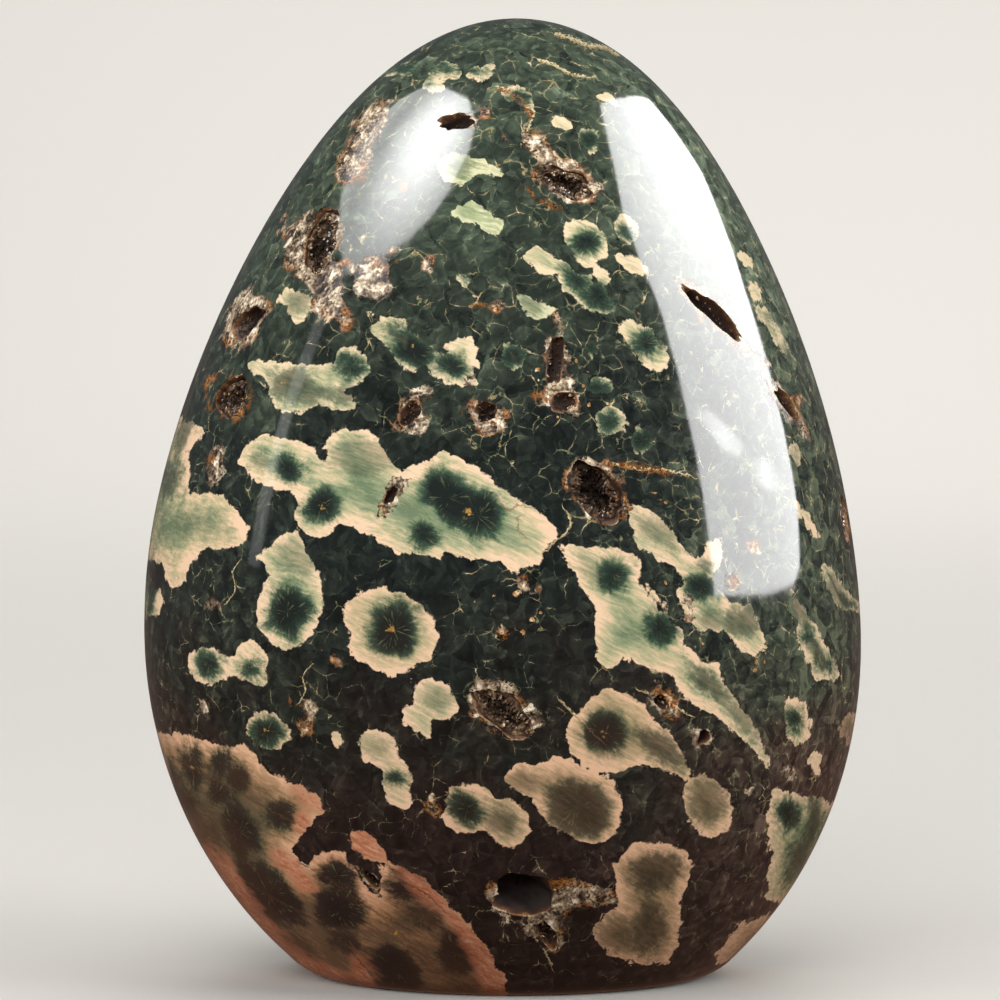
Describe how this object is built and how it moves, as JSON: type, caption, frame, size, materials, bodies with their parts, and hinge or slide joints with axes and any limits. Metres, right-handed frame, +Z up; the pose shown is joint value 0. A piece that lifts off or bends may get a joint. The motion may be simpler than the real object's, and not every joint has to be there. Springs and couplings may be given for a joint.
{
  "type": "ocean jasper",
  "caption": "Polished freeform egg of ocean jasper that stands on its sawn flat, with open vugs lined with quartz crystals.",
  "frame": {"origin": "middle of the stone's bounding box at its base, on the flat it stands on", "axes": "+Z up along the egg's long axis, +X to the right as seen from the front, -Y out of the front"},
  "size_m": [0.0956, 0.0808, 0.1273],
  "materials": {
    "polished_ocean_jasper": "mirror polish, dark green chalcedony with cream-rimmed orbs",
    "druzy_quartz": "natural crystal faces, tan to smoky, iron stained"
  },
  "bodies": {
    "root": {"jasper_stone": "polished_ocean_jasper", "quartz_crust_arch_vug": "druzy_quartz", "quartz_crust_left_pocket": "druzy_quartz", "quartz_crust_rust_ring_vug": "druzy_quartz", "quartz_crust_brown_vug": "druzy_quartz", "quartz_crust_edge_vug": "druzy_quartz", "quartz_crust_rusty_hollow": "druzy_quartz", "quartz_crust_back_vug": "druzy_quartz", "quartz_crust_back_left_vug": "druzy_quartz"}
  },
  "joints": []
}
